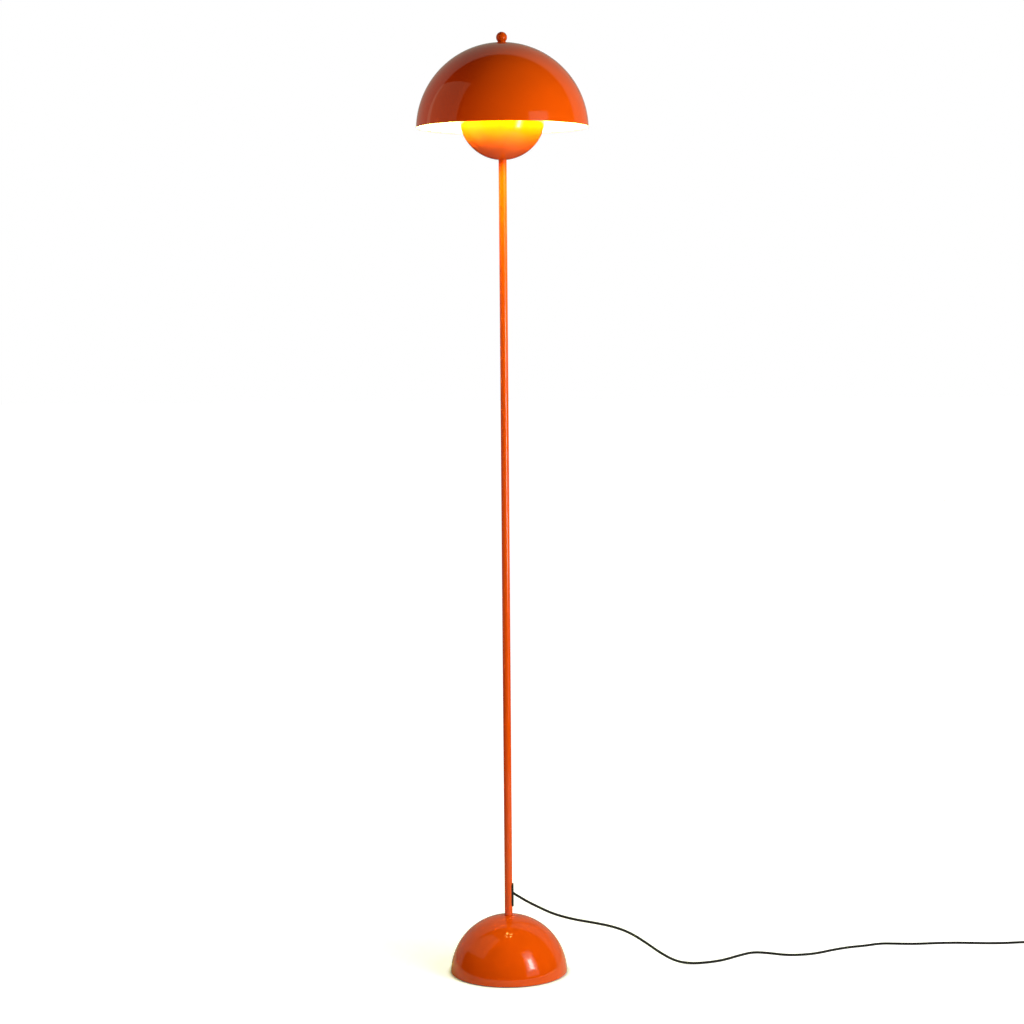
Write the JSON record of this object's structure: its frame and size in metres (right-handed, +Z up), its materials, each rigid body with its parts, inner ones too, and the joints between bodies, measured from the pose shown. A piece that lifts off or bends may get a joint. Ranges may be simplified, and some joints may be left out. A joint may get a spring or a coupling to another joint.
{
  "type": "mushroom floor lamp",
  "caption": "Slim floor lamp with a domed base, straight tube pole, small bowl under a large domed shade with a ball knob, and a cord with a foot switch and plug.",
  "frame": {"origin": "centre of the base's underside, on the floor", "axes": "+Z up along the pole, +X towards the side that the cord leaves from, -Y towards the front"},
  "size_m": [1.4089, 0.3557, 1.95],
  "materials": {
    "orange_lacquer": "high gloss lacquer",
    "zinc": "zinc plated",
    "weight_iron": "rough, painted dark",
    "felt": "short felt",
    "aluminium": "turned",
    "brass": "turned",
    "black_plastic": "fine satin",
    "white_ceramic": "glazed",
    "bulb_glass": "opal",
    "bulb_metal": "rolled",
    "cord_textile": "braided",
    "lead_insulation": "smooth",
    "black_rubber": "matte",
    "pin_metal": "nickel plated"
  },
  "bodies": {
    "stand": {"base_shell": "orange_lacquer", "base_pad": "felt", "base_plate": "zinc", "base_lugs": "zinc", "base_screws": "zinc", "base_weight": "weight_iron", "pole_bolt": "zinc", "bolt_washer": "zinc", "lower_pole": "orange_lacquer", "upper_pole": "orange_lacquer", "pole_foot_plug": "zinc", "pole_joint_sleeve": "aluminium", "pole_top_plug": "zinc", "cord_outlet": "black_plastic", "inner_cord": "cord_textile", "bowl_collar": "orange_lacquer", "bowl": "orange_lacquer", "head_nipple": "zinc", "saddle_washer": "zinc", "nipple_nut": "zinc", "carrier_foot": "zinc", "carrier_legs": "zinc", "carrier_hub": "brass", "hub_felt": "felt", "holder_cap": "black_plastic", "holder_body": "black_plastic", "holder_insert": "white_ceramic", "screw_shell": "brass", "centre_contact": "brass", "holder_leads": "lead_insulation", "cord_run": "cord_textile", "cord_tail": "cord_textile", "cord_coil": "cord_textile", "cord_end": "cord_textile", "switch_base": "black_plastic", "switch_cover": "black_plastic", "switch_block": "black_plastic", "switch_screws": "zinc", "switch_sleeves": "black_rubber", "plug_body": "black_plastic", "plug_pins": "pin_metal", "plug_sleeve": "black_rubber", "pin_sleeves": "black_plastic"},
    "shade": {"shade": "orange_lacquer"},
    "finial": {"finial": "orange_lacquer"},
    "bulb": {"bulb_glass": "bulb_glass", "bulb_cap": "bulb_metal", "bulb_insulator": "white_ceramic", "bulb_tip": "bulb_metal"},
    "push_button": {"switch_button": "black_plastic"}
  },
  "joints": [
    {"name": "shade_lift", "type": "slide", "parent": "stand", "child": "shade", "axis": [0, 0, 1], "range_m": [0, 0.2]},
    {"name": "finial_lift", "type": "slide", "parent": "stand", "child": "finial", "axis": [0, 0, 1], "range_m": [0, 0.26]},
    {"name": "bulb_unscrew", "type": "slide", "parent": "stand", "child": "bulb", "axis": [0, 0, 1], "range_m": [0, 0.026]},
    {"name": "switch_press", "type": "slide", "parent": "stand", "child": "push_button", "axis": [0, 0, -1], "range_m": [0, 0.003], "stiffness_N_per_m": 1500}
  ],
  "couplings": [
    {"joint": "finial_lift", "follows": "shade_lift", "ratio": 1.3}
  ]
}
